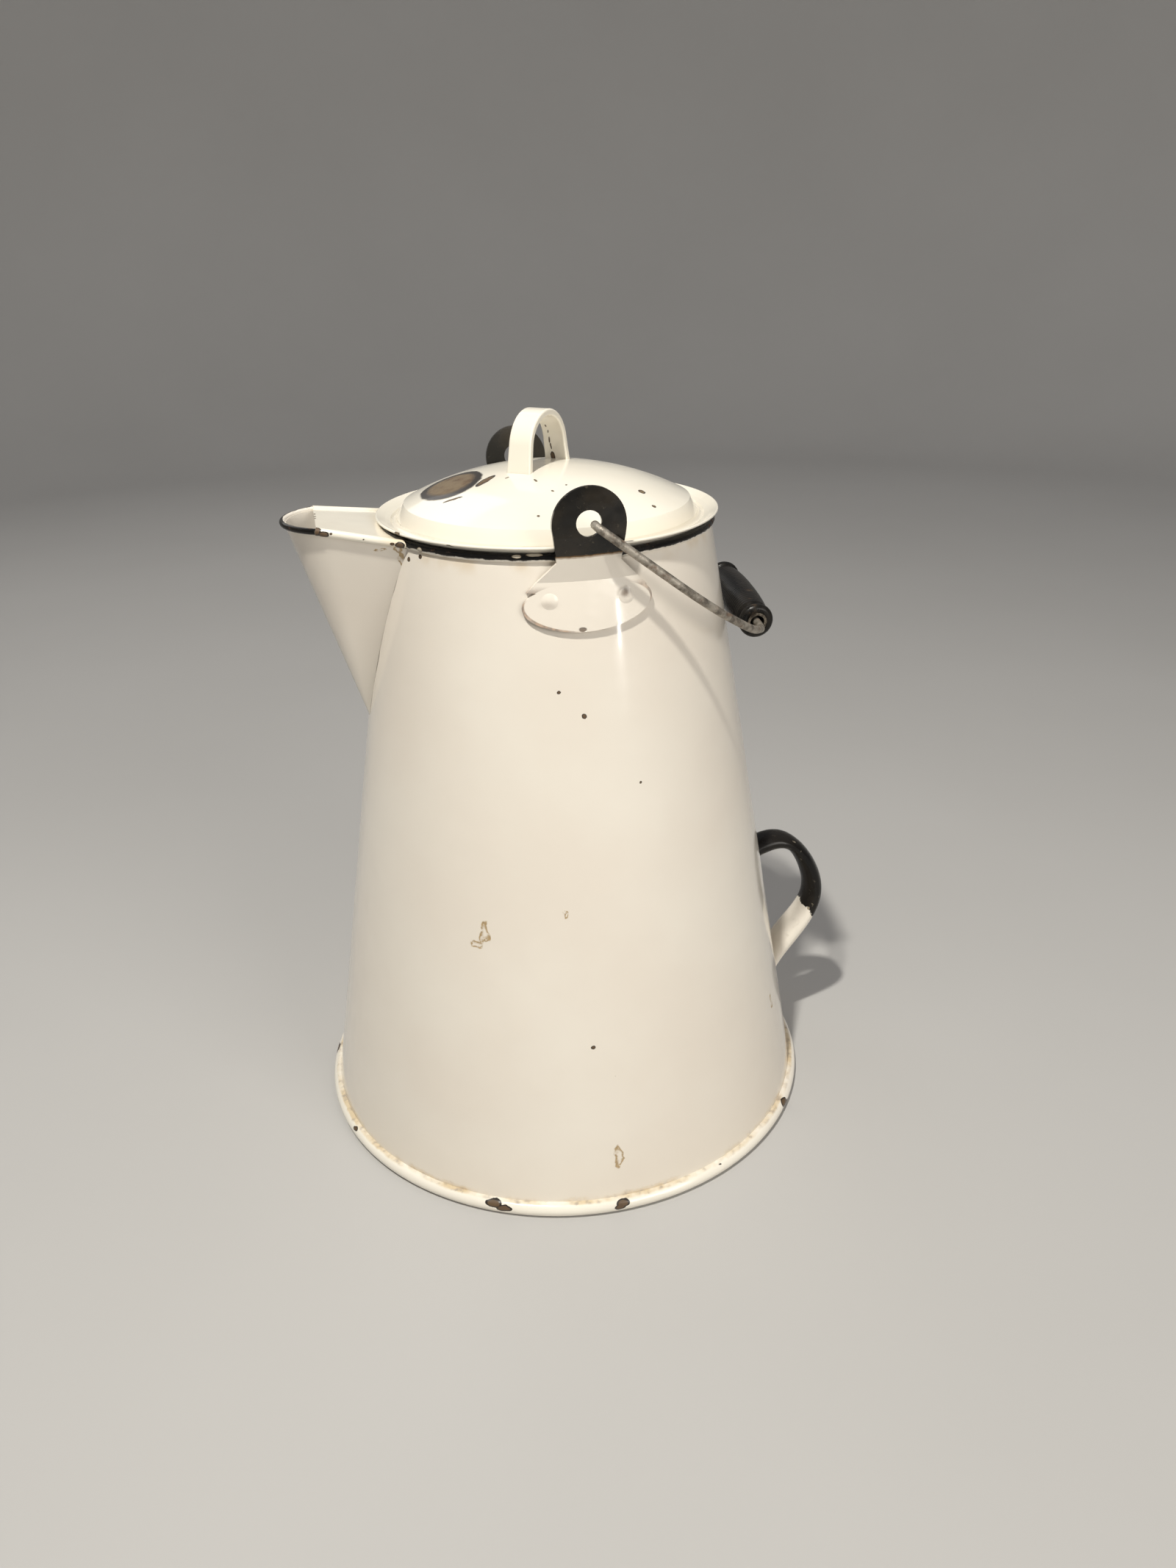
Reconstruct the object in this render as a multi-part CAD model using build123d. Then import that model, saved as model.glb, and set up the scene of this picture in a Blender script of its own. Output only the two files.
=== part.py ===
from build123d import *
from math import asin, atan2, cos, degrees, hypot, pi, radians, sin, sqrt, tan
import os

# Enamelled coffee boiler, in millimetres. The origin is at the centre of the foot, on the table.
# The spout points to -X, the rear handle to +X, and the two bail ears stand at -Y and +Y.

# Body: a straight cone of enamelled sheet, open at the top
SHEET = 1.2
WALL_FOOT_R = 141.8          # outer radius of the wall, carried down to the table
WALL_TAPER = 0.1686          # radius lost for each millimetre of height
WALL_BOTTOM_Z = 2.4
WALL_TOP_Z = 338.6

# Foot and bottom
FOOT_R = 145.0
FOOT_H = 8.0
FOOT_FLAT_IN, FOOT_FLAT_OUT = 137.8, 142.0
BOTTOM_FLANGE_TOP = 13.0
BOTTOM_RECESS = 4.6          # how far the bottom stands clear of the table
BOTTOM_KNEE = 4.0            # width of the bend between the flange and the flat

# Rolled bead round the mouth, closed over a wire
RIM_BEAD_R = 2.1
RIM_BEAD_Z = 340.4
RIM_CENTRE_R = 84.2
RIM_WIRE_R = 1.2

# Lip spout: half of an oblique cone whose tip lies on the front of the wall
SPOUT_APEX_X, SPOUT_APEX_Z = -99.4, 236.0
LIP_Z = 347.2                # centre line of the rolled lip
LIP_TIP_X = -133.0           # outside of the sheet at the lip
SPOUT_SPREAD = 17.5          # angle of each side of the spout, seen from above
SPOUT_HALF_W = 39.4          # half-width at the lip's height, at SPOUT_ROOT_X
SPOUT_ROOT_X = -76.0
SPOUT_SHEET_RISE = 4.4       # the inner face is the same cone, raised by this much
ROLL_R = 2.0                 # radius of the cover's side hems
LIP_ROLL_R = 1.5             # radius of the rolled lip
LIP_ROLL_OUT = 0.5           # how far the lip's centre line stands outside the sheet
COVER_FRONT_X = -118.0
COVER_DROP = 6.7             # fall of the cover from its front edge to COVER_ROOT_X
COVER_ROOT_X = -77.5
COVER_SHEET = 1.2
COVER_RAISE = -0.4           # underside of the cover plate, above the hems' centre lines

# Strainer: a pierced plate behind an opening in the wall
WINDOW_TOP_Z, WINDOW_BOTTOM_Z = 331.0, 272.0
WINDOW_TOP_HALF, WINDOW_BOTTOM_HALF = 23.0, 7.0
STRAINER_LAP = 5.0
STRAINER_SHEET = 1.0
HOLE_R = 2.9
HOLE_ROWS = 6
HOLE_PITCH = 9.0

# Bail ears
EAR_SHEET = 2.0
EAR_HOLE_R = 5.95
EAR_HOLE_Z = 357.0
EAR_Y = 91.4                 # middle of the plate at the hole
EAR_TOP_CENTRE_Z = 356.3
EAR_R = 17.3
EAR_NECK_HALF = 15.1
EAR_NECK_Z = 339.0
EAR_KNEE_Z = 330.0
EAR_UPRIGHT_Z = 351.0
EAR_BASE_HALF_W, EAR_BASE_HALF_H = 31.0, 11.8
EAR_BASE_Z = 318.8
EAR_SHIFT_X = 0.5
EAR_FLARE_X, EAR_FLARE_Z = 28.6, 325.2
EAR_BASE_TILT = 2.5
RIVET_R, RIVET_HEAD = 3.8, 0.7
RIVET_X, RIVET_Z = 18.2, 321.5

# Bail: a wire that hangs in the lower rear of the ear holes, and a turned wooden grip
WIRE_R = 2.0
BAIL_X, BAIL_Z = 3.4, 355.4
BAIL_REST_ANGLE = -33.1      # from +X, turning up
BAIL_END_Y = 88.7
BAIL_LEG_Y = 96.2
BAIL_REACH = 123.5           # pivot to the middle of the grip
BAIL_SKEW = 3.0              # the bail is a little bent: its +Y side stands out by this angle
BAIL_TWIST = 5.9             # and stands up by this one
BAIL_KNEE_U, BAIL_KNEE_Y = 72.0, 92.0
BAIL_SHOULDER_U, BAIL_SHOULDER_Y = 110.0, 69.0
BAIL_CORNER_Y = 48.0
GRIP_HALF = 38.8
GRIP_END_R, GRIP_GROOVE_R, GRIP_SHOULDER_R, GRIP_MID_R = 7.7, 6.9, 7.8, 9.2
GRIP_BEAD_LEN, GRIP_GROOVE_LEN = 4.2, 2.2
GRIP_BORE_R = 2.1
EYELET_R, EYELET_BORE_R, EYELET_LEN, EYELET_LIP = 4.5, 3.8, 6.0, 0.4

# Lid
LID_SHEET = 1.2
LID_R = 87.9
LID_EDGE_Z = 344.9           # underside of the brim at its edge
LID_SEAT_R = 84.4
LID_SEAT_GAP = 0.3
LID_VALLEY_R, LID_VALLEY_Z = 77.2, 342.2
LID_DOME_R, LID_TOP_Z = 163.0, 368.3
LID_DOME_EDGE_R = 73.4
COLLAR_R, COLLAR_DEPTH, COLLAR_SHEET = 79.0, 11.0, 1.0

# Lid strap: a rolled strip bent into a loop, which stands turned and a little off centre
STRAP_TURN = 48.6
STRAP_X, STRAP_Y = -3.6, -0.6
STRAP_HALF_SPAN = 17.0
STRAP_LEAN = 3.6
STRAP_TOP_Z = 395.0
STRAP_FOOT_W, STRAP_W, STRAP_T = 14.6, 12.8, 3.4
STRAP_FLARE_H = 9.0
STRAP_CORNER_R = 1.0

# Rear handle: a tapered tube bent into a loop, and the splayed tang that carries its lower end
HANDLE_W = 22.0


def wall_r(z, depth=0.0):
    """Radius of the wall at a height, at a depth in from its outer face."""
    return WALL_FOOT_R - WALL_TAPER * z - depth


def turned(*points):
    """Solid of revolution about Z from (radius, height) corners."""
    return revolve(Plane.XZ * make_face(Polyline(*points, close=True)), Axis.Z)


def wall_cone(z0, z1, depth=0.0):
    """Solid cone that fills the body out to a depth in from the wall's outer face."""
    return turned((0, z0), (wall_r(z0, depth), z0), (wall_r(z1, depth), z1), (0, z1))


def wall_ring(z0, z1, depth, thickness):
    """Conical ring that lies parallel to the wall."""
    inner = depth + thickness
    return turned((wall_r(z0, inner), z0), (wall_r(z0, depth), z0),
                  (wall_r(z1, depth), z1), (wall_r(z1, inner), z1))


def make_window():
    """Tapered block along X that cuts the pouring opening through the front of the wall."""
    half = Polyline((-WINDOW_TOP_HALF, WINDOW_TOP_Z), (WINDOW_TOP_HALF, WINDOW_TOP_Z),
                    (WINDOW_BOTTOM_HALF, WINDOW_BOTTOM_Z), (-WINDOW_BOTTOM_HALF, WINDOW_BOTTOM_Z),
                    close=True)
    outline = fillet(make_face(half).vertices(), 5)
    return extrude(Plane.YZ.offset(-110) * outline, 60)


def make_body_shell():
    return wall_ring(WALL_BOTTOM_Z, WALL_TOP_Z, 0, SHEET) - make_window()


def make_bottom_plate():
    z0, z1 = WALL_BOTTOM_Z, BOTTOM_FLANGE_TOP
    floor = BOTTOM_RECESS
    knee_r = wall_r(floor, 2 * SHEET) - BOTTOM_KNEE
    return turned((0, floor), (knee_r, floor), (wall_r(z0, 2 * SHEET), z0), (wall_r(z0, SHEET), z0),
                  (wall_r(z1, SHEET), z1), (wall_r(z1, 2 * SHEET), z1),
                  (wall_r(floor + SHEET, 2 * SHEET), floor + 2 * SHEET), (knee_r, floor + SHEET),
                  (0, floor + SHEET))


def make_foot_bead():
    """Rolled foot: it closes round the lower edge of the wall and stands on a narrow flat."""
    top = (wall_r(FOOT_H), FOOT_H)
    profile = Curve() + [
        Line((FOOT_FLAT_IN, 0), (FOOT_FLAT_OUT, 0)),
        ThreePointArc((FOOT_FLAT_OUT, 0), (FOOT_R, 0.52 * FOOT_H), top),
        Line(top, (wall_r(WALL_BOTTOM_Z), WALL_BOTTOM_Z)),
        Line((wall_r(WALL_BOTTOM_Z), WALL_BOTTOM_Z), (FOOT_FLAT_IN, WALL_BOTTOM_Z)),
        Line((FOOT_FLAT_IN, WALL_BOTTOM_Z), (FOOT_FLAT_IN, 0)),
    ]
    return revolve(Plane.XZ * make_face(profile), Axis.Z)


def rim_torus(radius):
    centre = Plane.XZ * Pos(RIM_CENTRE_R, RIM_BEAD_Z)
    return revolve(centre * Circle(radius), Axis.Z)


def make_top_rim_bead():
    below = Pos(0, 0, WALL_TOP_Z - 5) * Cylinder(2 * RIM_CENTRE_R, 10)
    return rim_torus(RIM_BEAD_R) - rim_torus(RIM_WIRE_R) - below


def make_rim_wire():
    return rim_torus(RIM_WIRE_R)


def spout_nose():
    """Centre and radius of the round nose that the spout's two straight sides run into."""
    spread = radians(SPOUT_SPREAD)
    side_at_tip = SPOUT_HALF_W - tan(spread) * (SPOUT_ROOT_X - LIP_TIP_X)
    nose_r = side_at_tip / (cos(spread) - tan(spread) * (1 - sin(spread)))
    return LIP_TIP_X + nose_r, nose_r


def spout_outline(size):
    """Plan of the spout at a size of 1 at the lip: two straight sides and a round nose."""
    spread = radians(SPOUT_SPREAD)
    centre_x, nose_r = spout_nose()
    touch = (centre_x - nose_r * sin(spread), nose_r * cos(spread))
    back_x = SPOUT_ROOT_X + 30
    back_w = SPOUT_HALF_W + 30 * tan(spread)
    corners = [(back_x, back_w), touch, (LIP_TIP_X, 0), (touch[0], -touch[1]), (back_x, -back_w)]
    moved = [(size * (x - SPOUT_APEX_X), size * y) for x, y in corners]
    outline = Curve() + [
        Line(moved[0], moved[1]),
        ThreePointArc(moved[1], moved[2], moved[3]),
        Line(moved[3], moved[4]),
        Line(moved[4], moved[0]),
    ]
    return make_face(outline)


def spout_cone(rise=0.0):
    """Oblique cone of the spout, from near its apex to above the lip."""
    height = LIP_Z - SPOUT_APEX_Z
    low, high = 0.04, 1.08
    floors = [Pos(SPOUT_APEX_X, 0, SPOUT_APEX_Z + rise + s * height) * spout_outline(s)
              for s in (low, high)]
    return loft(floors, ruled=True)


def above_spout_edge(lift=0.0):
    """Everything above the spout's upper edge: level over the lip, falling under the cover."""
    far = 60
    slope = COVER_DROP / (COVER_ROOT_X - COVER_FRONT_X)
    edge = Polyline((COVER_FRONT_X - far, LIP_Z + lift), (COVER_FRONT_X, LIP_Z + lift),
                    (COVER_FRONT_X + far, LIP_Z + lift - slope * far),
                    (COVER_FRONT_X + far, LIP_Z + far), (COVER_FRONT_X - far, LIP_Z + far),
                    close=True)
    return extrude(Plane.XZ * make_face(edge), 100, both=True)


def inside_kettle():
    """Everything within the wall and the rolled bead, which the spout's pieces stop against."""
    mouth = turned((0, RIM_BEAD_Z - RIM_BEAD_R), (RIM_CENTRE_R + RIM_BEAD_R, RIM_BEAD_Z - RIM_BEAD_R),
                   (RIM_CENTRE_R + RIM_BEAD_R, LIP_Z + 20), (0, LIP_Z + 20))
    return wall_cone(SPOUT_APEX_Z - 20, LIP_Z + 20) + mouth


def make_spout_shell():
    shell = spout_cone() - spout_cone(SPOUT_SHEET_RISE) - above_spout_edge() - inside_kettle()
    return shell.solids().sort_by(SortBy.VOLUME)[-1]


def make_spout_lip_bead(shell):
    """Black roll round the open mouth, from one front corner of the cover to the other."""
    centre_x, nose_r = spout_nose()
    roll_r = nose_r + LIP_ROLL_OUT
    half = 90 - degrees(asin((centre_x - COVER_FRONT_X) / roll_r))
    path = Pos(centre_x, 0, LIP_Z) * CenterArc((0, 0), roll_r, 180 - half, 2 * half)
    return sweep((path ^ 0) * Circle(LIP_ROLL_R), path) - shell


def cover_corners():
    """Front and rear ends of the cover's side rolls, on the +Y side."""
    centre_x, nose_r = spout_nose()
    front = Vector(COVER_FRONT_X, sqrt(nose_r ** 2 - (centre_x - COVER_FRONT_X) ** 2), LIP_Z)
    size = (LIP_Z - COVER_DROP - SPOUT_APEX_Z) / (LIP_Z - SPOUT_APEX_Z)
    root_w = SPOUT_HALF_W + tan(radians(SPOUT_SPREAD)) * (COVER_ROOT_X - SPOUT_ROOT_X)
    rear = Vector(COVER_ROOT_X, size * root_w, LIP_Z - COVER_DROP)
    return front, rear


def make_spout_cover(shell, lip_bead):
    """Plate over the rear of the spout, its sides rolled down round the spout's edges."""
    front, rear = cover_corners()
    rear = rear + (rear - front) * 0.25
    plate_edge = [(front.X, -front.Y), (front.X, front.Y), (rear.X, rear.Y), (rear.X, -rear.Y)]
    slope = degrees(atan2(front.Z - rear.Z, rear.X - front.X))
    tilted = Plane(origin=(front.X, 0, front.Z + COVER_RAISE), x_dir=(rear.X - front.X, 0, rear.Z - front.Z),
                   z_dir=(sin(radians(slope)), 0, cos(radians(slope))))
    stretch = 1 / cos(radians(slope))
    flat = [((x - front.X) * stretch, y) for x, y in plate_edge]
    cover = extrude(tilted * make_face(Polyline(*flat, close=True)), COVER_SHEET)
    for side in (1, -1):
        ends = [Vector(p.X, side * p.Y, p.Z) for p in (front, rear)]
        line = Line(*ends)
        cover += sweep((line ^ 0) * Circle(ROLL_R), line)
    cover = cover - shell - lip_bead - inside_kettle()
    return cover.solids().sort_by(SortBy.VOLUME)[-1]


def make_spout_strainer():
    """Pierced plate that backs the pouring opening, its holes in rows that follow the spout."""
    lap = STRAINER_LAP
    blank = wall_ring(WINDOW_BOTTOM_Z - lap, WINDOW_TOP_Z + lap, SHEET, STRAINER_SHEET)
    top, bottom = WINDOW_TOP_HALF + lap, WINDOW_BOTTOM_HALF + lap
    outline = Polyline((-top, WINDOW_TOP_Z + lap), (top, WINDOW_TOP_Z + lap),
                       (bottom, WINDOW_BOTTOM_Z - lap), (-bottom, WINDOW_BOTTOM_Z - lap), close=True)
    plate = blank & extrude(Plane.YZ.offset(-110) * make_face(outline), 60)
    for row in range(HOLE_ROWS):
        z = WINDOW_TOP_Z - 6 - row * HOLE_PITCH * sqrt(3) / 2
        count = HOLE_ROWS - row
        for i in range(count):
            y = (i - (count - 1) / 2) * HOLE_PITCH
            plate -= Pos(-95, y, z) * Rot(0, 90, 0) * Cylinder(HOLE_R, 40)
    return plate


def ear_outline():
    """Front view of an ear: round top, narrowing neck, and a wide foot with a bowed lower edge."""
    lean = radians(6)
    side_x, side_z = EAR_R * cos(lean), EAR_TOP_CENTRE_Z - EAR_R * sin(lean)
    upper = Curve() + [
        ThreePointArc((side_x, side_z), (0, EAR_TOP_CENTRE_Z + EAR_R), (-side_x, side_z)),
        Line((-side_x, side_z), (-EAR_NECK_HALF, EAR_NECK_Z)),
        Line((-EAR_NECK_HALF, EAR_NECK_Z), (-EAR_FLARE_X, EAR_FLARE_Z)),
        Line((-EAR_FLARE_X, EAR_FLARE_Z), (EAR_FLARE_X, EAR_FLARE_Z)),
        Line((EAR_FLARE_X, EAR_FLARE_Z), (EAR_NECK_HALF, EAR_NECK_Z)),
        Line((EAR_NECK_HALF, EAR_NECK_Z), (side_x, side_z)),
    ]
    base = Pos(0, EAR_BASE_Z) * Rot(0, 0, EAR_BASE_TILT) * Ellipse(EAR_BASE_HALF_W, EAR_BASE_HALF_H)
    return Pos(EAR_SHIFT_X, 0) * (make_face(upper) + base)


def make_ear_plate(side):
    """Ear on one side: its foot lies on the wall, leans out past the rim and then stands upright."""
    foot = wall_ring(EAR_BASE_Z - 2 * EAR_BASE_HALF_H, EAR_KNEE_Z, 0, -EAR_SHEET)
    knee_in = wall_r(EAR_KNEE_Z)
    hole_in = EAR_Y - EAR_SHEET / 2
    hole_out = hole_in + EAR_SHEET
    top_z = EAR_TOP_CENTRE_Z + EAR_R + 2
    upright = turned((knee_in, EAR_KNEE_Z), (knee_in + EAR_SHEET, EAR_KNEE_Z), (hole_out, EAR_UPRIGHT_Z),
                     (hole_out, top_z), (hole_in, top_z), (hole_in, EAR_UPRIGHT_Z))
    plate = foot + upright
    front = extrude(Plane.XZ * ear_outline(), side * -120)
    hole = Pos(0, side * EAR_Y, EAR_HOLE_Z) * Rot(90, 0, 0) * Cylinder(EAR_HOLE_R, 20)
    return (plate & front) - hole


def make_ear_rivets():
    """Two low domed rivet heads on each ear's foot."""
    heads = []
    for side in (1, -1):
        for x in (-RIVET_X, RIVET_X):
            r = wall_r(RIVET_Z) + EAR_SHEET
            turn = degrees(atan2(side * sqrt(r * r - x * x), x))
            lean = degrees(atan2(WALL_TAPER, 1))
            ball_r = (RIVET_R ** 2 + RIVET_HEAD ** 2) / (2 * RIVET_HEAD)
            seat = Rot(0, 0, turn) * Pos(r, 0, RIVET_Z) * Rot(0, -lean, 0)
            ball = seat * Pos(RIVET_HEAD - ball_r, 0, 0) * Sphere(ball_r)
            heads.append(ball - wall_cone(RIVET_Z - 30, RIVET_Z + 30, -EAR_SHEET))
    return Compound(children=[h.solid() for h in heads])


def bail_plane():
    """Plane of the bail at rest: its x runs from the pivot to the grip, its y along the ears."""
    a = radians(BAIL_REST_ANGLE)
    return Plane(origin=(BAIL_X, 0, BAIL_Z), x_dir=(cos(a), 0, sin(a)), z_dir=(-sin(a), 0, cos(a)))


def bent(u, y):
    """Point of the bail in its own plane, moved by the skew and twist that use has given it."""
    share = u / BAIL_REACH
    return (u + share * y * tan(radians(BAIL_SKEW)), y, share * y * tan(radians(BAIL_TWIST)))


def make_bail_wire():
    """Wire from ear to ear: hooked ends, legs bowed clear of the wall, straight through the grip."""
    half = [(0, BAIL_END_Y), (0, BAIL_LEG_Y), (BAIL_KNEE_U, BAIL_KNEE_Y),
            (BAIL_SHOULDER_U, BAIL_SHOULDER_Y), (BAIL_REACH, BAIL_CORNER_Y)]
    points = [bent(u, y) for u, y in half] + [bent(u, -y) for u, y in reversed(half)]
    bends = [4.2, 90, 60, 18]
    path = bail_plane() * FilletPolyline(*points, radius=bends + bends[::-1])
    return sweep((path ^ 0) * Circle(WIRE_R), path)


def grip_place():
    """Place of the grip: on the straight middle of the wire, its axis along the wire."""
    along = Vector(tan(radians(BAIL_SKEW)), 1, tan(radians(BAIL_TWIST)))
    return bail_plane() * Plane(origin=(BAIL_REACH, 0, 0), x_dir=(1, -along.X, 0), z_dir=along)


def make_bail_grip():
    """Turned wooden grip: bead and groove at each end, a swelling barrel, and eyelet seats."""
    end, bead = GRIP_HALF, GRIP_HALF - GRIP_BEAD_LEN
    groove = bead - GRIP_GROOVE_LEN
    profile = Curve() + [
        Line((EYELET_R, end), (GRIP_END_R - 1, end)),
        ThreePointArc((GRIP_END_R - 1, end), (GRIP_END_R - 0.2, end - 0.8), (GRIP_END_R, end - 2)),
        Line((GRIP_END_R, end - 2), (GRIP_END_R, bead)),
        ThreePointArc((GRIP_END_R, bead), (GRIP_GROOVE_R, (bead + groove) / 2),
                      (GRIP_SHOULDER_R, groove)),
        ThreePointArc((GRIP_SHOULDER_R, groove), (GRIP_MID_R, 0), (GRIP_SHOULDER_R, -groove)),
        ThreePointArc((GRIP_SHOULDER_R, -groove), (GRIP_GROOVE_R, -(bead + groove) / 2),
                      (GRIP_END_R, -bead)),
        Line((GRIP_END_R, -bead), (GRIP_END_R, 2 - end)),
        ThreePointArc((GRIP_END_R, 2 - end), (GRIP_END_R - 0.2, 0.8 - end), (GRIP_END_R - 1, -end)),
        Line((GRIP_END_R - 1, -end), (EYELET_R, -end)),
        Line((EYELET_R, -end), (EYELET_R, EYELET_LEN - end)),
        Line((EYELET_R, EYELET_LEN - end), (GRIP_BORE_R, EYELET_LEN - end)),
        Line((GRIP_BORE_R, EYELET_LEN - end), (GRIP_BORE_R, end - EYELET_LEN)),
        Line((GRIP_BORE_R, end - EYELET_LEN), (EYELET_R, end - EYELET_LEN)),
        Line((EYELET_R, end - EYELET_LEN), (EYELET_R, end)),
    ]
    return grip_place() * revolve(Plane.XZ * make_face(profile), Axis.Z)


def make_grip_ferrules():
    """Metal eyelets pressed into the two ends of the grip."""
    end, back = GRIP_HALF, GRIP_HALF - EYELET_LEN
    lip_r = EYELET_R + 0.7
    ring = turned((EYELET_BORE_R, back), (EYELET_R, back), (EYELET_R, end), (lip_r, end),
                  (lip_r, end + EYELET_LIP), (EYELET_BORE_R, end + EYELET_LIP))
    return Compound(children=[(grip_place() * Rot(turn, 0, 0) * ring).solid() for turn in (0, 180)])


def lid_outline(depth):
    """Face of the pressed lid at a depth below its upper surface, from the axis to the brim."""
    ball_r = LID_DOME_R - depth
    dome_centre = LID_TOP_Z - LID_DOME_R

    def dome_z(r):
        return dome_centre + sqrt(ball_r ** 2 - r * r)

    low = LID_VALLEY_Z - depth
    seat_z = RIM_BEAD_Z + RIM_BEAD_R + LID_SEAT_GAP + LID_SHEET - depth
    shoulder = (LID_DOME_EDGE_R - 0.6 * depth, dome_z(LID_DOME_EDGE_R - 0.6 * depth))
    foot = (LID_VALLEY_R - 0.6 * depth, low + 2.2)
    bend = (LID_VALLEY_R + 0.9 - 0.3 * depth, low + 0.5)
    valley = (LID_VALLEY_R + 2.8, low)
    rise = (RIM_CENTRE_R - RIM_BEAD_R - 0.5 * LID_SEAT_GAP - LID_SHEET + 1.35 * depth, low + 0.9)
    half = LID_DOME_EDGE_R / 2
    return [
        ThreePointArc((0, LID_TOP_Z - depth), (half, dome_z(half)), shoulder),
        Line(shoulder, foot),
        ThreePointArc(foot, bend, valley),
        Line(valley, rise),
        Line(rise, (LID_SEAT_R - 1.2 + 0.5 * depth, seat_z)),
        Line((LID_SEAT_R - 1.2 + 0.5 * depth, seat_z), (LID_R - 0.8, LID_EDGE_Z + LID_SHEET - depth)),
    ]


def make_lid_shell():
    """Pressed lid: dome, valley that drops into the mouth, and a brim raised over the bead."""
    upper, lower = lid_outline(0), lid_outline(LID_SHEET)
    tip = (LID_R, LID_EDGE_Z + LID_SHEET / 2)
    profile = Curve() + upper + lower + [
        ThreePointArc(upper[-1] @ 1, tip, lower[-1] @ 1),
        Line(lower[0] @ 0, upper[0] @ 0),
    ]
    return revolve(Plane.XZ * make_face(profile), Axis.Z)


def make_lid_collar(lid):
    """Ring under the lid that keeps it in the mouth."""
    z1 = LID_VALLEY_Z + 4
    z0 = LID_VALLEY_Z - COLLAR_DEPTH
    r = COLLAR_R
    ring = turned((r - COLLAR_SHEET, z0), (r, z0), (r, z1), (r - COLLAR_SHEET, z1)) - lid
    return ring.solids().sort_by(Axis.Z)[0]


def strap_place():
    """Upright plane across the lid in which the strap is bent."""
    turn = radians(STRAP_TURN)
    return Plane(origin=(STRAP_X, STRAP_Y, 0), x_dir=(cos(turn), sin(turn), 0),
                 z_dir=(sin(turn), -cos(turn), 0))


def strap_line(span, top_z, foot_z):
    """Inverted U: two legs that stand in a little towards a round top."""
    shoulder_z = top_z - 0.86 * span
    return Curve() + [
        Line((-span - STRAP_LEAN, foot_z), (-span, shoulder_z)),
        ThreePointArc((-span, shoulder_z), (0, top_z), (span, shoulder_z)),
        Line((span, shoulder_z), (span + STRAP_LEAN, foot_z)),
    ]


def make_lid_strap(lid):
    """Rolled strip: a full-round outer face, hollow on the inside, with its ends on the dome."""
    foot_z = LID_TOP_Z - 8
    outer = strap_line(STRAP_HALF_SPAN + STRAP_T / 2, STRAP_TOP_Z, foot_z)
    inner = strap_line(STRAP_HALF_SPAN - STRAP_T / 2, STRAP_TOP_Z - STRAP_T, foot_z)
    outside = make_face(outer + Line(outer @ 1, outer @ 0))
    inside = make_face(inner + Line(inner @ 1, inner @ 0))
    band = extrude(outside - inside, STRAP_FOOT_W, both=True)
    waist_z = LID_TOP_Z + STRAP_FLARE_H
    top_z = STRAP_TOP_Z + 1
    foot_w, top_w = STRAP_FOOT_W / 2, STRAP_W / 2
    side = Curve() + [
        ThreePointArc((foot_w, foot_z), (top_w, waist_z), (top_w + 0.2, top_z)),
        Line((top_w + 0.2, top_z), (-top_w - 0.2, top_z)),
        ThreePointArc((-top_w - 0.2, top_z), (-top_w, waist_z), (-foot_w, foot_z)),
        Line((-foot_w, foot_z), (foot_w, foot_z)),
    ]
    across = Plane(origin=(-50, 0, 0), x_dir=(0, 0, -1), z_dir=(1, 0, 0))
    band = band & extrude(across * make_face(side), 100)
    rounded = fillet(band.edges().filter_by(lambda e: e.length > 12), STRAP_CORNER_R)
    strap = strap_place() * rounded
    return (strap - lid).solids().sort_by(Axis.Z)[-1]


def handle_line():
    """Centre line of the rear handle, in the XZ plane, from the upper root to the lower."""
    points = [(108, 127.0), (150.5, 134.0), (165.6, 89), (138.5, 50), (132.5, 38)]
    return FilletPolyline(*points, radius=[20, 26, 12])


def make_rear_handle():
    """Bent tube, oval in section, that flattens towards its lower end."""
    line = handle_line()
    sizes = [(0.0, 18, 14), (0.12, 18, 11.5), (0.24, 18, 9.2), (0.4, 19, 10), (0.58, 20, 11),
             (0.76, 22, 12.5), (0.9, 22, 10), (1.0, 21, 8)]
    rings = []
    for t, width, depth in sizes:
        at = line @ t
        along = line % t
        plane = Plane(origin=(at.X, 0, at.Y), x_dir=(0, 1, 0), z_dir=(along.X, 0, along.Y))
        rings.append(plane * Ellipse(width / 2, depth / 2))
    return (loft(rings) - wall_cone(0, 180)).solids().sort_by(SortBy.VOLUME)[-1]


def make_rear_handle_foot(handle):
    """Splayed tang that lies on the wall under the lower end of the handle."""
    outline = Pos(0, 52) * Ellipse(11.5, 25)
    pad = wall_ring(20, 84, 0, -2.0) & extrude(Plane.YZ * outline, 170)
    return (pad - handle).solids().sort_by(SortBy.VOLUME)[-1]


def build():
    shell = make_spout_shell()
    lip_bead = make_spout_lip_bead(shell)
    lid = make_lid_shell()
    handle = make_rear_handle()
    return {
        "body_shell": make_body_shell(),
        "bottom_plate": make_bottom_plate(),
        "foot_bead": make_foot_bead(),
        "top_rim_bead": make_top_rim_bead(),
        "rim_wire": make_rim_wire(),
        "spout_shell": shell,
        "spout_lip_bead": lip_bead,
        "spout_cover": make_spout_cover(shell, lip_bead),
        "spout_strainer": make_spout_strainer(),
        "ear_plate_near": make_ear_plate(-1),
        "ear_plate_far": make_ear_plate(1),
        "ear_rivets": make_ear_rivets(),
        "bail_wire": make_bail_wire(),
        "bail_grip": make_bail_grip(),
        "grip_ferrules": make_grip_ferrules(),
        "lid_shell": lid,
        "lid_collar": make_lid_collar(lid),
        "lid_strap": make_lid_strap(lid),
        "rear_handle": handle,
        "rear_handle_foot": make_rear_handle_foot(handle),
    }


os.makedirs("parts", exist_ok=True)
for name, shape in build().items():
    export_step(shape, f"parts/{name}.step")
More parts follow.
